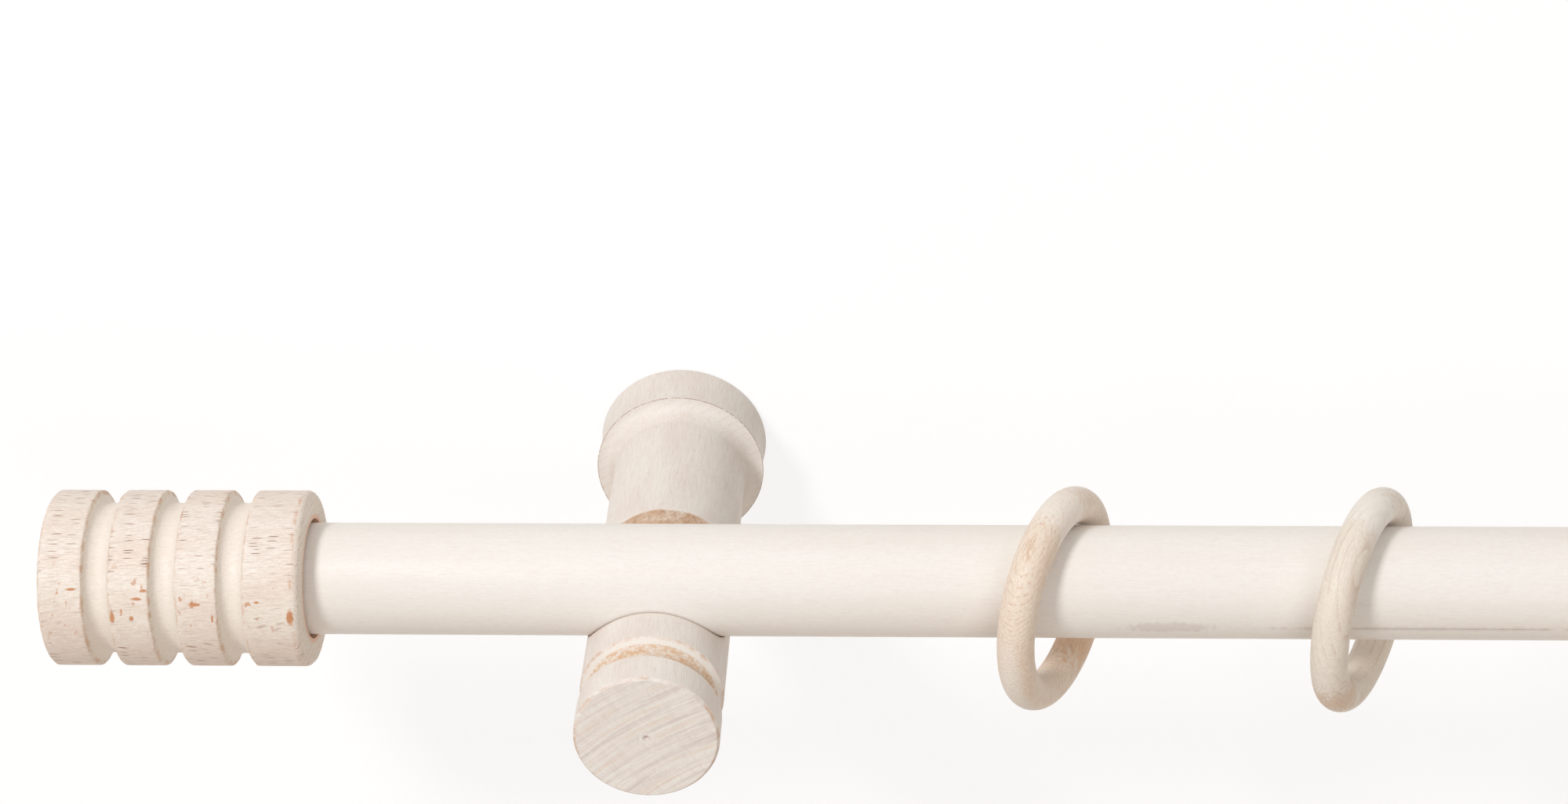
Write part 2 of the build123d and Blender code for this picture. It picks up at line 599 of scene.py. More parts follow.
@dataclass(frozen=True)
class Levels:
    """Levels between which the details of the wood fade in, or out for vessels and rays."""

    end_grain: Span = Span(0.6, 0.97)
    flat_face: Span = Span(0.15, 0.6)
    patch: Span = Span(0.4, 0.7)
    fine: Span = Span(0.38, 0.68)
    grit: Span = Span(0.4, 0.66)
    dash: Span = Span(0.36, 0.6)
    vessel: Span = Span(0.16, 0.36)
    ray: Span = Span(0.2, 0.38)
    dark_fleck: Span = Span(0.6, 0.92)
    plate: Span = Span(0.65, 0.71)
    rub: Span = Span(0.42, 0.66)
    missed: Span = Span(0.32, 0.66)
    # Bare wood of the rear groove, which also stands in as painted shade from the rod
    bare_and_shade: Span = Span(0.1, 0.55)
    crumb: Span = Span(0.48, 0.6)
    seam: Span = Span(0.34, 0.5)


@dataclass(frozen=True)
class Shares:
    """Shares of tones and details that every piece of wood has in common."""

    quarter: float = 0.7
    faint_fleck: float = 0.12
    lying_fleck: float = 0.25
    end_fibre_loss: float = 0.5
    hidden_fleck: float = 0.85
    wash: float = 0.5
    edge: float = 0.6
    raw: float = 0.9
    crumb: float = 0.3
    seam: float = 0.7
    # socket: raw wood in a cap's bore, with painted shade in it
    socket: float = 0.85
    # saddle: raw wood and painted contact shade where the rod sits
    saddle: float = 0.7
    print_ring: float = 0.7
    print_pit: float = 0.4


@dataclass(frozen=True)
class Tooth:
    """Small relief of the finish: its depth in metres, shares of it, and what it adds to the gloss."""

    depth: float = 0.12 * MM
    fibre: float = 0.6
    grit: float = 0.5
    fleck: float = 0.8
    pore: float = 0.4
    fibre_gloss: float = 0.12
    fleck_gloss: float = 0.15
    specular: float = 0.35


LEVELS = Levels()
SHARES = Shares()
TOOTH = Tooth()


@dataclass(frozen=True)
class Scrape:
    """Dark and pale streaks of one size, in millimetres, and the noise levels where they fade."""

    length: float
    thickness: float
    dark: Colour
    dark_share: float
    dark_level: Span
    pale: Colour
    pale_share: float
    pale_level: Span

    def coats(self, face: Wire, streaks: Callable[[float, float], Wire]) -> list[Coat]:
        """Make the two coats of the streaks.

        Args:
            face: Level that is 1 on the sawn face.
            streaks: Noise in streaks of a length and a thickness.

        Returns:
            Share and colour of each coat.
        """
        level = streaks(self.length, self.thickness)
        dark = self.dark_share * face * level.fall(self.dark_level)
        pale = self.pale_share * face * level.rise(self.pale_level)
        return [(dark, self.dark), (pale, self.pale)]


@dataclass(frozen=True)
class SawnFace:
    """Sawn end of a post, with streaks along its growth layers and scratches along and across them."""

    broad: Scrape = Scrape(34.0, 2.0, ASH, 0.4, Span(0.34, 0.5), PEACH, 0.3, Span(0.52, 0.66))
    scratch: Scrape = Scrape(15.0, 0.5, LINE, 0.15, Span(0.36, 0.48), CHALK, 0.9, Span(0.52, 0.64))
    crossing: Scrape = Scrape(9.0, 1.1, ASH, 0.1, Span(0.34, 0.48), CHALK, 0.3, Span(0.54, 0.7))

    def coats(self, wood: LogPlace, turned: TurnedPlace) -> list[Coat]:
        """Make the coats of the face.

        Args:
            wood: Place in the log.
            turned: Place on the turned piece.

        Returns:
            Share and colour of each coat.
        """
        face = turned.far_end()
        coats = self.broad.coats(face, wood.layers)
        coats += self.scratch.coats(face, wood.layers)
        coats += self.crossing.coats(face, wood.crossing)
        coats.append((SHARES.print_ring * turned.print_ring(), CHALK))
        coats.append((SHARES.print_pit * turned.print_pit(), ASH))
        return coats


@dataclass(frozen=True)
class Wear:
    """Rubbed edges of turned wood, the places that the wash has missed in part or altogether, and tones that
    are partly painted shade: in a cap's socket, on the saddle and in the rear groove.
    """

    edge: Colour = paint(210, 160, 120)
    raw: Colour = paint(216, 170, 124)
    # Bare wood, also used as painted shade in the rear groove and as painted contact shade on the saddle
    bare_and_shade: Colour = paint(200, 166, 136)
    # Raw wood of a cap's bore, made darker and browner as painted shade inside it
    socket: Colour = paint(238, 194, 166)
    rub: Lump = Lump(1.6, 3.0, 4.0)
    crumb: Lump = Lump(0.8, 0.8, 4.0)

    def coats(self, wood: LogPlace, turned: TurnedPlace) -> list[Coat]:
        """Make the coats of a turned piece.

        Args:
            wood: Place in the log.
            turned: Place on the turned piece.

        Returns:
            Share and colour of each coat.
        """
        relief = turned.relief
        rub = wood.noise(self.rub)
        crumbs = wood.noise(self.crumb)
        coats = [(SHARES.edge * turned.wear() * rub.rise(LEVELS.rub), self.edge)]
        if relief.raws:
            missed = turned.plateau(relief.raws) * ((crumbs + rub) / 2).rise(LEVELS.missed)
            coats.append((SHARES.raw * missed, self.raw))
        # The rear groove: bare wood and painted shade from the rod in front of it
        if relief.bare_and_shade_stretches:
            bare_and_shade = turned.plateau(relief.bare_and_shade_stretches) * rub.rise(LEVELS.bare_and_shade)
            coats.append((SHARES.raw * bare_and_shade, self.bare_and_shade))
            coats.append((SHARES.crumb * bare_and_shade * crumbs.rise(LEVELS.crumb), FLECK))
        if relief.seams:
            coats.append((SHARES.seam * turned.seam() * crumbs.rise(LEVELS.seam), FLECK))
        # The cap's socket: raw wood and painted shade inside the bore
        if relief.bore:
            coats.append((SHARES.socket * turned.socket(), self.socket))
        # The saddle: raw wood and painted contact shade along the rod's seat
        if relief.seat:
            coats.append((SHARES.saddle * turned.saddle(), self.bare_and_shade))
        return coats


@dataclass(frozen=True)
class Timber:
    """Bleached beech, from its tones down to its rays and vessels; lengths in millimetres.

    Attributes:
        pale: Main tone.
        warm: Tone of the slow patches.
        quarter: Tone of the faces that the rays lie flat in.
        end: Tone of the end grain.
        line: Tone of the lines along the grain.
        fibre: Strength of the fine lines along the grain.
        growth: Strength of the growth lines.
        arc: Strength of those lines on the end grain.
        fleck: Strength of the ray flecks.
        flake: Strength of the broad flakes on quartered faces.
        pore: Strength of the vessels.
        speckle: Strength of the specks on the end grain.
        mottle: Strength of the small flecked shading all over.
        gloss: Roughness of the satin finish.
        ring_width: Distance between growth lines.
        sharpness: Power that narrows a growth line.
        ray: Spacing of the rays along the grain, across them and along their depth.
        plate: The same spacing of the broad flakes.
        vessel: Spacing of the vessels along the grain and across it.
        sway: Size of the waves of the growth layers.
        drift: Height of those waves.
        patch: Size of the slow patches.
        fine: Size of the fine lines.
        dash: Size of the pieces that a growth line breaks into.
        grit: Size of the small shading.
        torn: Size of the ragged rims of scars and stains.
        wash: Tone of the wash that has pooled in a hollow.
    """

    pale: Colour
    warm: Colour
    quarter: Colour
    end: Colour
    line: Colour = LINE
    fibre: float = 0.3
    growth: float = 0.2
    arc: float = 0.2
    fleck: float = 0.6
    flake: float = 0.0
    pore: float = 0.2
    speckle: float = 0.0
    mottle: float = 0.1
    gloss: float = 0.5
    ring_width: float = 2.2
    sharpness: float = 5.0
    ray: Triple = (7.0, 0.2, 8.0)
    plate: Triple = (1.7, 2.0, 2.8)
    vessel: Pair = (9.0, 0.75)
    sway: Lump = Lump(45.0, 16.0)
    drift: float = 3.0
    patch: Lump = Lump(30.0, 10.0, 3.0)
    fine: Lump = Lump(3.5, 0.24)
    dash: Lump = Lump(1.6, 0.7)
    grit: Lump = Lump(0.9, 0.4)
    torn: Lump = Lump(1.6, 3.0, 4.0)
    wash: Colour = paint(243, 237, 229)

    def dress(
        self, node: str, cut: Cut, relief: Relief | None = None, marks: Sequence[Mark] = ()
    ) -> bpy.types.Material:
        """Make the material of one piece.

        Args:
            node: Name of the piece's node.
            cut: How the piece lies in its log.
            relief: Edges and hollows of a turned piece, if it has any.
            marks: Scars and stains of the piece.

        Returns:
            The material.
        """
        material, graph = new_material(f"{node}_beech")
        low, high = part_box(node)
        wood = LogPlace(graph, (low + high) / 2, cut, self.sway, self.drift)
        turned = TurnedPlace(graph, relief) if relief else None
        end = graph.facing(wood.axes[0]).rise(LEVELS.end_grain)
        flat = graph.facing(wood.axes[1]).rise(LEVELS.flat_face)
        fine = wood.noise(self.fine).rise(LEVELS.fine)
        grit = wood.noise(self.grit).rise(LEVELS.grit)
        pore = wood.vessels(*self.vessel).fall(LEVELS.vessel)
        flecks = self.flecks(wood) * (1 - end) * (SHARES.lying_fleck + (1 - SHARES.lying_fleck) * flat)
        tone = graph.blend(end, self.ground(wood, flat), self.end)
        if turned and relief.sawn:
            tone = graph.coat(tone, SawnFace().coats(wood, turned))
        coats = [
            (self.fibre * fine * (1 - SHARES.end_fibre_loss * end), self.line),
            (self.mottle * grit, self.line),
            (self.growth_lines(wood, end), self.line),
            (self.pore * pore, FLECK),
            (self.speckle * end * grit, FLECK),
        ]
        if turned:
            hollow = turned.plateau(relief.hollows)
            flecks = flecks * (1 - SHARES.hidden_fleck * hollow)
            flakes = self.flake * wood.plates(*self.plate).rise(LEVELS.plate)
            coats.append((SHARES.wash * hollow, self.wash))
            coats.append((flakes * (1 - flat.most(end)) * (1 - hollow), FLAKE))
            coats += Wear().coats(wood, turned)
        if marks:
            wander = wood.noise(self.torn)
            coats += [mark.coat(graph, wander) for mark in marks]
        coats.append((flecks, FLECK))
        height = TOOTH.fibre * self.fibre * fine + TOOTH.grit * self.mottle * grit
        height = height - TOOTH.fleck * flecks - TOOTH.pore * self.pore * pore
        sockets = {
            "Base Color": graph.coat(tone, coats),
            "Roughness": self.gloss + TOOTH.fibre_gloss * (fine - NOISE_MIDDLE) + TOOTH.fleck_gloss * flecks,
            "Specular IOR Level": TOOTH.specular,
            "Normal": graph.bump(height, TOOTH.depth),
        }
        graph.finish(sockets)
        return material

    def ground(self, wood: LogPlace, flat: Wire) -> Wire:
        """Main tone, with its slow patches and its quartered faces."""
        tone = wood.graph.blend(SHARES.quarter * (1 - flat), self.pale, self.quarter)
        return wood.graph.blend(wood.noise(self.patch).rise(LEVELS.patch), tone, self.warm)

    def growth_lines(self, wood: LogPlace, end: Wire) -> Wire:
        """Find the broken growth lines.

        Args:
            wood: Place in the log.
            end: Level that is 1 on the end grain.

        Returns:
            Share of their tone.
        """
        line = (wood.depth / self.ring_width).rest() ** self.sharpness
        strength = self.growth + (self.arc - self.growth) * end
        return strength * line * wood.noise(self.dash).rise(LEVELS.dash)

    def flecks(self, wood: LogPlace) -> Wire:
        """Find the short dark dashes where rays come out of the surface.

        Args:
            wood: Place in the log.

        Returns:
            Share of their tone.
        """
        distance, chance = wood.rays(*self.ray)
        strength = SHARES.faint_fleck + (1 - SHARES.faint_fleck) * chance.rise(LEVELS.dark_fleck)
        return self.fleck * distance.fall(LEVELS.ray) * strength


@dataclass(frozen=True)
class Fitting:
    """Metal or plastic of a fixing, with dull clouds and fine scratches of a size in millimetres."""

    name: str
    tone: Colour
    dull: Colour
    gloss: float
    metallic: float = 1.0
    cloud: float = 3.0
    cloud_detail: float = 4.0
    cloud_level: Span = Span(0.4, 0.75)
    cloud_gloss: float = 0.2
    scratch: Triple = (0.2, 2.5, 0.2)
    scratch_gloss: float = 0.15
    depth: float = 0.02 * MM

    def dress(self) -> bpy.types.Material:
        """Make the material.

        Returns:
            The material.
        """
        material, graph = new_material(self.name)
        x = graph.node("ShaderNodeSeparateXYZ", None, {0: graph.place()})
        sides = [side / MM for side in (x, x.twin("Y"), x.twin("Z"))]
        cloud = graph.noise(*(side / self.cloud for side in sides), detail=self.cloud_detail)
        scratch = graph.noise(*(side / size for side, size in zip(sides, self.scratch)))
        sockets = {
            "Base Color": graph.blend(cloud.rise(self.cloud_level), self.tone, self.dull),
            "Roughness": self.gloss + self.scratch_gloss * scratch + self.cloud_gloss * cloud,
            "Metallic": self.metallic,
            "Normal": graph.bump(scratch, self.depth),
        }
        graph.finish(sockets)
        return material


@dataclass
class Pole:
    """The round rod, with a smear and a crack along it.

    They are counted from the rod's middle, at a drop below its front in degrees.
    """

    node: str = "rod"
    drop: float = 19.0
    streaks: tuple[Mark, ...] = (
        Mark((-257.0 * MM, 0.0, 0.0), (13.0 * MM, 2.4 * MM, 2.4 * MM), ASH, 0.35, 1.2),
        Mark((-195.0 * MM, 0.0, 0.0), (50.0 * MM, 1.1 * MM, 1.1 * MM), CRACK, 0.12, 1.5),
        Mark((-195.0 * MM, 0.0, 0.0), (40.0 * MM, 0.28 * MM, 0.28 * MM), CRACK, 0.4, 1.5),
    )
    cut: Cut = Cut(ROD_WAY, (0.0, -0.6, 0.8), 90.0)
    timber: Timber = Timber(
        pale=paint(247, 244, 240),
        warm=paint(246, 241, 236),
        quarter=paint(248, 245, 241),
        end=paint(240, 230, 218),
        fibre=0.06,
        growth=0.03,
        fleck=0.05,
        pore=0.02,
        mottle=0.05,
        gloss=0.42,
        patch=Lump(90.0, 9.0, 3.0),
        fine=Lump(2.5, 0.3),
        grit=Lump(1.2, 0.6),
    )

    def build(self) -> None:
        """Dress the rod."""
        low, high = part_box(self.node)
        middle = (low + high) / 2
        radius = (high.z - low.z) / 2
        drop = math.radians(self.drop)
        front = middle - radius * Vector((0, math.cos(drop), math.sin(drop)))
        marks = [replace(streak, centre=front + Vector(streak.centre)) for streak in self.streaks]
        cover(self.node, self.timber.dress(self.node, self.cut, marks=marks))


@dataclass(frozen=True)
class Scar:
    """A torn place on a cap: millimetres along and around it, degrees up from its front."""

    along: float
    angle: float
    length: float
    height: float
    strength: float = 0.9
    ragged: float = 1.2


def straight(start: Point, end: Point, step: float = 1.0 * MM) -> list[Point]:
    """Divide a straight stretch of an outline.

    Args:
        start: Its first point, which isn't repeated.
        end: Its last point.
        step: Distance between points, about.

    Returns:
        The points after the first.
    """
    count = max(1, round(math.dist(start, end) / step))
    shares = [number / count for number in range(1, count + 1)]
    return [tuple(a + (b - a) * share for a, b in zip(start, end)) for share in shares]


def bow(centre: Point, radius: float, first: float, last: float, count: int) -> list[Point]:
    """Divide an arc of an outline.

    Args:
        centre: Centre of the arc.
        radius: Its radius.
        first: Angle where it starts; that point isn't repeated.
        last: Angle where it ends.
        count: Number of points.

    Returns:
        The points after the first.
    """
    angles = [first + (last - first) * number / count for number in range(1, count + 1)]
    return [(centre[0] + radius * math.cos(angle), centre[1] + radius * math.sin(angle)) for angle in angles]


def spin(name: str, outline: Sequence[Point], place: Callable[[Point, float], Vector]) -> bpy.types.Object:
    """Turn an outline whose two ends lie on its axis.

    Args:
        name: Name of the piece.
        outline: Distances along the axis and radii.
        place: Where a point of the outline goes at an angle.

    Returns:
        The piece, smooth but for its sharp edges.
    """
    angles = [2 * math.pi * number / TURN_STEPS for number in range(TURN_STEPS)]
    mesh = bmesh.new()
    tips = [mesh.verts.new(place(outline[end], 0.0)) for end in (0, -1)]
    rows = [[mesh.verts.new(place(point, angle)) for angle in angles] for point in outline[1:-1]]
    for number in range(TURN_STEPS):
        after = (number + 1) % TURN_STEPS
        for one, other in zip(rows, rows[1:]):
            mesh.faces.new((one[number], one[after], other[after], other[number]))
        mesh.faces.new((tips[0], rows[0][after], rows[0][number]))
        mesh.faces.new((tips[1], rows[-1][number], rows[-1][after]))
    bmesh.ops.recalc_face_normals(mesh, faces=mesh.faces)
    piece = new_object(name, mesh)
    piece.data.shade_smooth()
    piece.data.set_sharp_from_angle(angle=math.radians(SHARP_ANGLE))
    return piece


@dataclass
class EndCap:
    """One turned cap, with its bands and coves counted from the outer end.

    Its edges are nicked where a noise of the nicks' length is above a level, and its coves wander along the
    axis. Its socket is tinted out to a given radius, as raw wood and as painted shade inside the bore. The
    right cap has the same scars, turned round its axis by an angle in degrees.
    """

    side: Side
    first_band: float = 11.0 * MM
    cove: float = 6.5 * MM
    pitch: float = 16.65 * MM
    coves: int = 3
    edge_break: float = 0.6 * MM
    edge_round: float = 0.5 * MM
    rim_round: float = 1.8 * MM
    seat: float = 14.3 * MM
    socket_depth: float = 30.0 * MM
    mouth: float = 15.1 * MM
    mouth_depth: float = 6.0 * MM
    edge_steps: int = 4
    cove_steps: int = 18
    rim_steps: int = 6
    nick: float = 0.5 * MM
    nick_length: float = 1.6 * MM
    nick_level: float = 0.1
    wander: float = 0.2 * MM
    wander_scale: float = 4.0
    # Out to this radius the socket is tinted as raw wood and as painted shade
    raw_and_shade_radius: float = 16.0 * MM
    scars: tuple[Scar, ...] = (
        Scar(18.4, 8.0, 1.4, 4.2),
        Scar(24.6, 20.5, 3.2, 0.9),
        Scar(26.5, 26.0, 2.0, 1.0),
        Scar(8.5, 26.5, 3.0, 0.8),
        Scar(23.2, 7.0, 1.4, 1.5),
        Scar(39.0, 17.0, 3.4, 1.3),
        Scar(43.2, 7.0, 0.7, 2.2),
        Scar(54.5, 18.5, 1.5, 0.8),
        Scar(62.4, 8.0, 2.0, 4.3),
    )
    right_turn: float = 140.0
    cut: Cut = Cut((1.0, 0.03, 0.06), (0.0, 0.29, 0.96), 60.0)
    timber: Timber = Timber(
        pale=paint(248, 239, 231),
        warm=paint(244, 231, 221),
        quarter=paint(252, 246, 237),
        end=paint(245, 237, 226),
        fibre=0.3,
        growth=0.12,
        arc=0.7,
        fleck=0.85,
        flake=0.7,
        pore=0.1,
        speckle=0.08,
        mottle=0.2,
        gloss=0.55,
        ray=(4.5, 0.2, 8.0),
        fine=Lump(2.6, 0.24),
        torn=Lump(1.3, 1.0, 4.0),
    )

    def build(self) -> None:
        """Turn the cap and dress it."""
        node = f"end_cap_{self.side.word}"
        low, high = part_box(node)
        middle = (low + high) / 2
        length = high.x - low.x
        hollows = tuple((place - self.cove / 2, place + self.cove / 2) for place in self.cove_places())
        sides = [side for hollow in hollows for side in hollow]
        relief = Relief(
            axis=(-self.side.value, 0, 0),
            start=(low.x if self.side is Side.LEFT else high.x, middle.y, middle.z),
            length=length,
            rim=(high.z - low.z) / 2,
            edges=(0.0, *sides, length - self.rim_round),
            hollows=hollows,
            bore=self.raw_and_shade_radius,
        )
        cap = self.turn(f"turned_cap_{self.side.word}", relief)
        marks = [self.mark(scar, relief) for scar in self.scars]
        material = self.timber.dress(node, self.cut, relief, marks)
        cap.data.materials.append(material)
        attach(cap, f"cap_{self.side.word}")
        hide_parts(node)
        log.info("%s wears %s", cap.name, material.name)

    def cove_places(self) -> list[float]:
        """Distances of the middles of the coves."""
        return [self.first_band + self.cove / 2 + number * self.pitch for number in range(self.coves)]

    def outline(self, length: float, rim: float) -> list[Point]:
        """Half outline from the outer end to the bottom of the socket.

        Args:
            length: Length of the cap.
            rim: Radius of its bands.

        Returns:
            Distances along the axis and radii.
        """
        hollow = self.cove / 2
        lean = math.asin(self.edge_round / (hollow + self.edge_round))
        spread = (hollow + self.edge_round) * math.cos(lean)
        quarter = math.pi / 2
        points = [(0.0, 0.0)]
        points += straight(points[-1], (0.0, rim - self.edge_break))
        points.append((self.edge_break, rim))
        for place in self.cove_places():
            near = (place - spread, rim - self.edge_round)
            far = (place + spread, rim - self.edge_round)
            points += straight(points[-1], (near[0], rim))
            points += bow(near, self.edge_round, quarter, lean, self.edge_steps)
            points += bow((place, rim), hollow, math.pi + lean, 2 * math.pi - lean, self.cove_steps)
            points += bow(far, self.edge_round, math.pi - lean, quarter, self.edge_steps)
        corner = (length - self.rim_round, rim - self.rim_round)
        points += straight(points[-1], (corner[0], rim))
        points += bow(corner, self.rim_round, quarter, 0.0, self.rim_steps)
        points += straight(points[-1], (length, self.mouth))
        step = length - self.mouth_depth
        floor = length - self.socket_depth
        return points + [(step, self.mouth), (step, self.seat), (floor, self.seat), (floor, 0.0)]

    def turn(self, name: str, relief: Relief) -> bpy.types.Object:
        """Turn the cap, with nicked edges and coves that wander a little.

        Args:
            name: Name of the piece.
            relief: Its axis, length and radius.

        Returns:
            The piece.
        """
        start, axis, length = Vector(relief.start), Vector(relief.axis), relief.length
        spread = self.cove / 2 + self.edge_round
        edges = [place + way * spread for place in self.cove_places() for way in (-1, 1)]
        edges += [self.edge_break, length]

        def place(point: Point, angle: float) -> Vector:
            """Put a point of the outline at an angle, moved as a hand would leave it.

            Args:
                point: Distance along the axis and radius.
                angle: Angle around the axis.

            Returns:
                The point's place.
            """
            along, radius = point
            round_way = Vector((0, math.cos(angle), math.sin(angle)))
            if radius > self.mouth + self.edge_round and along > 0:
                near = min(edges, key=lambda edge: abs(edge - along))
                where = round_way * relief.rim / self.nick_length
                where.x = near / self.nick_length
                reach = max(0.0, 1 - abs(near - along) / self.nick_length)
                radius -= self.nick * reach * max(0.0, noise.noise(where) - self.nick_level)
                if along < length - 2 * self.rim_round:
                    share = min(1.0, along / self.first_band)
                    along += self.wander * noise.noise(where / self.wander_scale) * share
            return start + axis * along + round_way * radius

        return spin(name, self.outline(length, relief.rim), place)

    def mark(self, scar: Scar, relief: Relief) -> Mark:
        """Lay a scar on the round of the cap.

        Args:
            scar: The scar.
            relief: The cap's axis and radius.

        Returns:
            The mark.
        """
        turn = self.right_turn if self.side is Side.RIGHT else 0.0
        angle = math.radians(scar.angle + turn)
        out = Vector((0, -math.cos(angle), math.sin(angle)))
        centre = Vector(relief.start) + Vector(relief.axis) * scar.along * MM + out * relief.rim
        half = scar.height / 2 * MM
        return Mark(centre, (scar.length / 2 * MM, half, half), FLAKE, scar.strength, scar.ragged)


@dataclass
class Bracket:
    """The turned post of one wall bracket, with its flange and grooves counted from the wall.

    The wash has missed part of each groove; in the rear groove the bare tone is also painted shade from the
    rod in front. The saddle's tone, raw wood and painted contact shade, shows a little beyond the rod.
    """

    side: Side
    flange: float = 15.5 * MM
    rear_groove: Pair = (63.2 * MM, 71.2 * MM)
    front_groove: Pair = (119.6 * MM, 127.6 * MM)
    # Rear groove's bare tone: missed wash and painted shade from the rod
    rear_bare_and_shade: Pair = (63.0 * MM, 67.4 * MM)
    front_raw: Pair = (120.6 * MM, 126.4 * MM)
    radius: float = 17.85 * MM
    # The saddle's raw wood and painted contact shade reach this far beyond the rod
    saddle_edge: float = 0.35 * MM
    edge_break: float = 0.4 * MM
    wear_reach: float = 0.6 * MM
    cut: Cut = Cut((0.0, 1.0, 0.0), (-0.545, 0.0, 0.839), 110.0)
    timber: Timber = Timber(
        pale=paint(242, 237, 232),
        warm=paint(237, 229, 223),
        quarter=paint(242, 238, 233),
        end=paint(247, 243, 239),
        fibre=0.22,
        growth=0.08,
        arc=0.3,
        fleck=0.12,
        pore=0.05,
        mottle=0.1,
        gloss=0.52,
        ray=(4.0, 0.2, 6.0),
        drift=0.6,
        fine=Lump(6.0, 0.2),
    )

    def build(self) -> None:
        """Dress the post."""
        node = f"bracket_post_{self.side.word}"
        low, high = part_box(node)
        middle = (low + high) / 2
        length = high.y - low.y
        rod_low, rod_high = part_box("rod")
        relief = Relief(
            axis=(0, -1, 0),
            start=(middle.x, high.y, middle.z),
            length=length,
            rim=self.radius,
            edges=(*self.rear_groove, *self.front_groove, length - self.edge_break),
            hollows=(self.rear_groove, self.front_groove),
            raws=(self.front_raw,),
            bare_and_shade_stretches=(self.rear_bare_and_shade,),
            seams=((self.flange, (high.z - low.z) / 2),),
            seat=(rod_low + rod_high) / 2,
            seat_radius=(rod_high.z - rod_low.z) / 2 + self.saddle_edge,
            sawn=True,
            reach=self.wear_reach,
        )
        cover(node, self.timber.dress(node, self.cut, relief))


@dataclass(frozen=True)
class RingWood:
    """Wood of a ring: lean of its growth layers in degrees, its stain and the stain's way back and up."""

    lean: float
    stain: Mark
    stain_way: Pair
    timber: Timber


class Figure(Enum):
    """Figures that the wood of the rings shows: close growth lines, or a few broad stripes."""

    FLOWERY = RingWood(
        lean=0.0,
        stain=Mark(ORIGIN, (9.0 * MM,) * 3, paint(214, 164, 116), 0.45, 1.8),
        stain_way=(0.42, -0.91),
        timber=Timber(
            pale=paint(244, 231, 217),
            warm=paint(240, 223, 207),
            quarter=paint(244, 232, 219),
            end=paint(247, 241, 234),
            line=paint(204, 160, 124),
            fibre=0.22,
            growth=0.6,
            fleck=0.15,
            pore=0.12,
            speckle=0.09,
            mottle=0.14,
            gloss=0.48,
            ring_width=0.8,
            ray=(2.5, 0.3, 6.0),
            vessel=(5.0, 0.55),
            sway=Lump(16.0, 6.0),
            drift=1.3,
            torn=Lump(5.0, 1.2, 3.0),
        ),
    )
    PLAIN = RingWood(
        lean=76.0,
        stain=Mark(ORIGIN, (9.0 * MM,) * 3, paint(206, 160, 112), 0.45, 1.8),
        stain_way=(-0.79, -0.62),
        timber=Timber(
            pale=paint(240, 232, 221),
            warm=paint(238, 227, 214),
            quarter=paint(240, 233, 222),
            end=paint(246, 240, 232),
            line=paint(205, 176, 158),
            fibre=0.18,
            growth=0.5,
            fleck=0.12,
            pore=0.08,
            speckle=0.11,
            mottle=0.12,
            gloss=0.48,
            ring_width=1.9,
            ray=(2.5, 0.3, 6.0),
            vessel=(5.0, 0.55),
            sway=Lump(40.0, 9.0),
            drift=0.8,
            dash=Lump(22.0, 2.5),
            torn=Lump(3.0, 0.8, 3.0),
        ),
    )


@dataclass
class CurtainRing:
    """One loose wooden ring, turned out of square with the rod; angles in degrees.

    Its grain tilts from upright in the ring's own plane, a step less on each next ring. A pale patch makes
    its top paler, and a stretch of it is stained.
    """

    number: int
    figure: Figure
    first_tilt: float = 56.0
    tilt_step: float = 4.0
    yaw: float = 25.7
    thickness: float = 9.2 * MM
    pith: float = 90.0
    # A pale patch on the top of the ring
    bloom: Mark = Mark(ORIGIN, (10.0 * MM,) * 3, CHALK, 0.5, 1.2)

    def build(self) -> None:
        """Dress the ring."""
        node = f"ring_{self.number}"
        wood = self.figure.value
        low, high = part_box(node)
        middle = (low + high) / 2
        radius = (high.z - low.z - self.thickness) / 2
        yaw = math.radians(self.yaw)
        tilt = math.radians(self.first_tilt - self.tilt_step * (self.number - 1))
        lean = math.radians(wood.lean)
        up = Vector((0, 0, 1))
        back = Vector((math.sin(yaw), math.cos(yaw), 0))
        grain = up * math.cos(tilt) + back * math.sin(tilt)
        rimward = up * math.sin(tilt) - back * math.cos(tilt)
        outward = rimward * math.cos(lean) + back.cross(up) * math.sin(lean)
        stain_way = (wood.stain_way[0] * back + wood.stain_way[1] * up).normalized()
        marks = (
            replace(self.bloom, centre=middle + up * radius),
            replace(wood.stain, centre=middle + stain_way * radius),
        )
        cut = Cut(grain, outward, self.pith)
        cover(node, wood.timber.dress(node, cut, marks=marks))


@dataclass
class Fixings:
    """Hidden bush, bolt, plug and screw of each bracket."""

    brass: Fitting = Fitting("insert_brass", paint(205, 170, 100), paint(160, 126, 70), 0.3)
    steel: Fitting = Fitting("zinc_plate", paint(196, 198, 202), paint(150, 150, 148), 0.28)
    nylon: Fitting = Fitting(
        "plug_nylon",
        paint(168, 170, 172),
        paint(150, 152, 156),
        gloss=0.45,
        metallic=0.0,
        cloud=6.0,
        cloud_level=Span(0.35, 0.7),
        cloud_gloss=0.0,
        scratch=(0.25, 0.25, 0.25),
        depth=0.03 * MM,
    )

    def build(self) -> None:
        """Dress the fixings of both brackets."""
        brass, steel, nylon = (finish.dress() for finish in (self.brass, self.steel, self.nylon))
        finishes = {"threaded_insert": brass, "hanger_bolt": steel, "pole_screw": steel, "wall_plug": nylon}
        for side in Side:
            for piece, finish in finishes.items():
                cover(f"{piece}_{side.word}", finish)


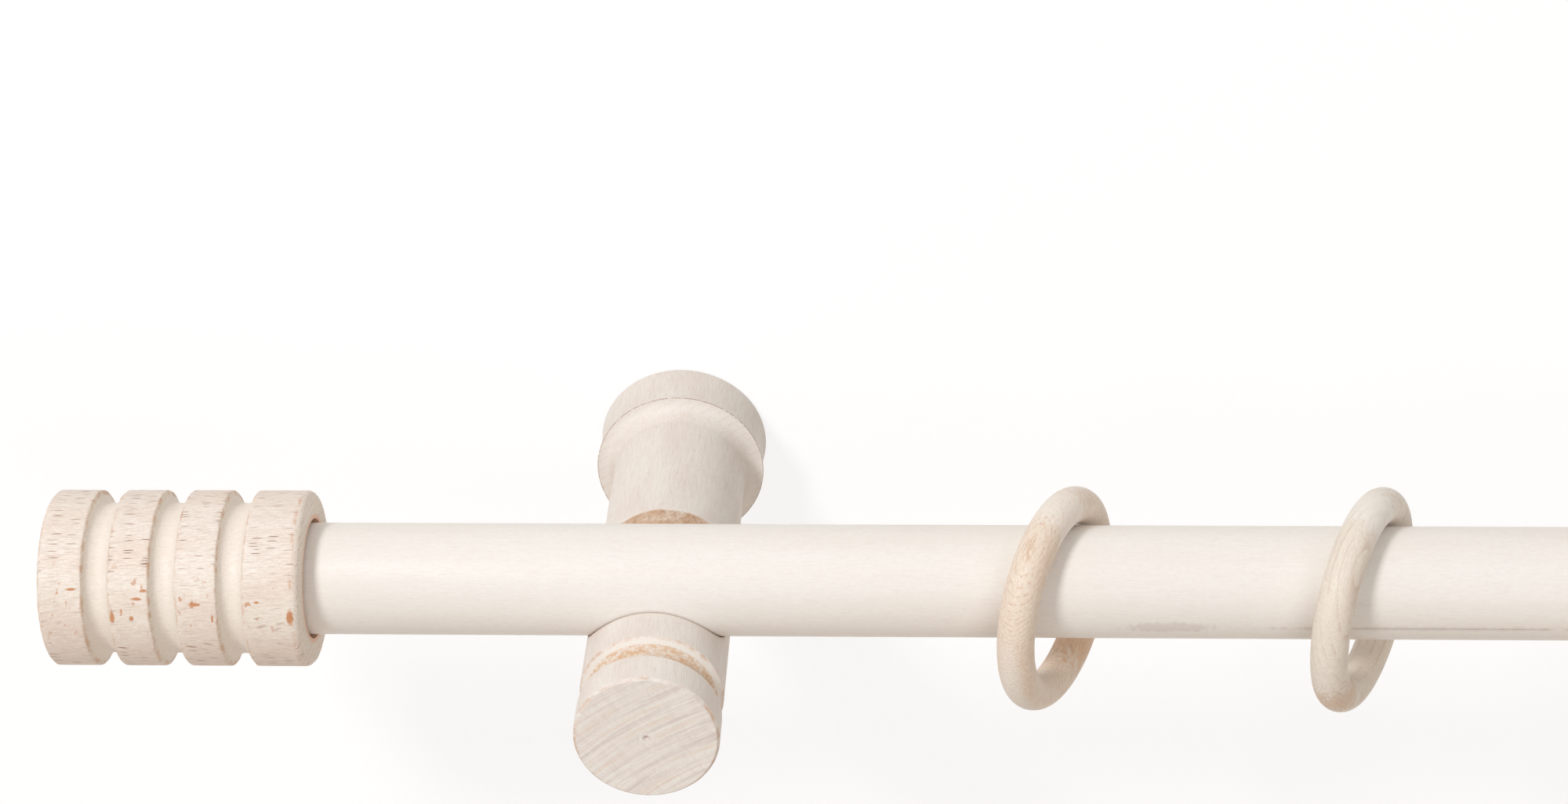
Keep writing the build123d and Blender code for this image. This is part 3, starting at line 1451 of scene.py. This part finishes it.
@dataclass
class PhotoCamera:
    """Camera at the photograph's place: metres, degrees, and millimetres for lens and sensor."""

    place: Triple = (-0.31572, -0.74686, 0.46397)
    pitch: float = 31.135
    yaw: float = -3.082
    roll: float = 1.493
    lens: float = 72.61
    sensor: float = 36.0
    near: float = 0.01
    far: float = 50.0

    def build(self) -> None:
        """Make the camera and look through it."""
        pitch, yaw, roll = (math.radians(angle) for angle in (self.pitch, self.yaw, self.roll))
        turn = Euler((math.pi / 2 - pitch, 0, -yaw)).to_matrix() @ Matrix.Rotation(-roll, 3, "Z")
        data = bpy.data.cameras.new("photo_camera")
        data.lens = self.lens
        data.sensor_width = self.sensor
        data.sensor_fit = "HORIZONTAL"
        data.clip_start = self.near
        data.clip_end = self.far
        camera = bpy.data.objects.new("photo_camera", data)
        camera.matrix_world = Matrix.Translation(self.place) @ turn.to_4x4()
        bpy.context.scene.collection.objects.link(camera)
        bpy.context.scene.camera = camera


@dataclass(frozen=True)
class Lamp:
    """A square soft lamp, in metres from its target, and the share of full light that it gives there."""

    name: str
    offset: Triple
    size: float
    level: float
    tint: Triple = (1.0, 1.0, 1.0)

    def hang(self, target: Triple) -> None:
        """Hang the lamp and turn it to its target.

        Args:
            target: Point that it looks at.
        """
        offset = Vector(self.offset)
        data = bpy.data.lights.new(self.name, "AREA")
        data.size = self.size
        data.color = self.tint
        data.energy = self.level * (math.pi * offset.length) ** 2
        lamp = bpy.data.objects.new(self.name, data)
        lamp.location = Vector(target) + offset
        lamp.rotation_mode = "QUATERNION"
        lamp.rotation_quaternion = (-offset).to_track_quat("-Z", "Y")
        bpy.context.scene.collection.objects.link(lamp)


@dataclass
class Studio:
    """Pale sweep behind and below the object, soft lamps and an even warm surround; in metres.

    Floor and wall throw colours of their own back at the object, and are white where they are seen. Rays
    shorter than the contact pass the wall, so that light from behind reaches the backs that touch it.
    """

    wall: float = 0.4 * MM
    floor: float = -0.5
    bend: float = 0.3
    bend_steps: int = 16
    half_width: float = 3.0
    front: float = -3.5
    top: float = 2.5
    ambient: float = 0.42
    surround: Colour = (1.0, 0.982, 0.955, 1.0)
    floor_bounce: Colour = paint(204, 192, 179)
    wall_bounce: Colour = paint(228, 226, 222)
    bounce_rise: Span = Span(-0.4, 0.0)
    sheet: Colour = paint(222, 222, 222)
    glow: float = 1.28
    glow_share: float = 0.6
    contact: Span = Span(2.0 * MM, 3.0 * MM)
    target: Triple = (-0.25, -0.095, 0.02)
    lamps: tuple[Lamp, ...] = (
        Lamp("key_lamp", (-1.35, -1.5, 1.95), 0.55, 0.5),
        Lamp("fill_lamp", (0.9, -2.1, 0.5), 1.2, 0.14, (1.0, 0.96, 0.91)),
    )

    def build(self) -> None:
        """Make the sweep, the lamps and the surround."""
        self.lay_sweep()
        self.light_world()
        for lamp in self.lamps:
            lamp.hang(self.target)
        bpy.context.scene.view_settings.view_transform = "Standard"

    def light_world(self) -> None:
        """Give the surround an even light, and white where it is seen."""
        world = bpy.data.worlds.new("surround")
        world.use_nodes = True
        bpy.context.scene.world = world
        graph = Graph(world.node_tree)
        kind = "ShaderNodeBackground"
        light = graph.node(kind, None, {"Color": self.surround, "Strength": self.ambient})
        white = graph.node(kind, None, {"Color": WHITE, "Strength": 1.0})
        graph.close(graph.shift(graph.seen(), light, white), "World")

    def lay_sweep(self) -> None:
        """Make the sheet that is floor in front and wall behind."""
        centre = (self.wall - self.bend, self.floor + self.bend)
        outline = [(self.front, self.floor), (centre[0], self.floor)]
        outline += bow(centre, self.bend, -math.pi / 2, 0.0, self.bend_steps)
        outline.append((self.wall, self.top))
        mesh = bmesh.new()
        ends = (-self.half_width, self.half_width)
        rows = [[mesh.verts.new((x, y, z)) for x in ends] for y, z in outline]
        for (a, b), (c, d) in zip(rows, rows[1:]):
            mesh.faces.new((a, b, d, c)).smooth = True
        sweep = new_object("sweep", mesh)
        sweep.data.materials.append(self.paper())

    def paper(self) -> bpy.types.Material:
        """Make the sweep's matt paper, clear from behind and to light for what touches it.

        Returns:
            The material.
        """
        material, graph = new_material("sweep_paper")
        tones = (self.floor_bounce, self.wall_bounce, self.sheet)
        low, high, matt = (graph.node("ShaderNodeBsdfDiffuse", None, {"Color": tone}) for tone in tones)
        height = graph.node("ShaderNodeSeparateXYZ", None, {0: graph.place()}, "Z")
        bounce = graph.shift(height.rise(self.bounce_rise), low, high)
        glow = graph.node("ShaderNodeEmission", None, {"Color": WHITE, "Strength": self.glow})
        front = graph.shift(graph.seen(), bounce, graph.shift(self.glow_share, matt, glow))
        behind = graph.node("ShaderNodeNewGeometry", output="Backfacing")
        touching = graph.node("ShaderNodeLightPath", output="Ray Length").fall(self.contact)
        clear = behind.most(touching * (1 - graph.seen()))
        graph.close(graph.shift(clear, front, graph.node("ShaderNodeBsdfTransparent")))
        return material


def main() -> None:
    """Dress every piece, then set the studio and the camera."""
    logging.basicConfig(level=logging.INFO, format="%(name)s: %(message)s")
    Pole().build()
    for side in Side:
        EndCap(side).build()
        Bracket(side).build()
    for number in range(1, RING_COUNT + 1):
        CurtainRing(number, Figure.FLOWERY if number % 2 else Figure.PLAIN).build()
    Fixings().build()
    Studio().build()
    PhotoCamera().build()


if __name__ == "__main__":
    main()
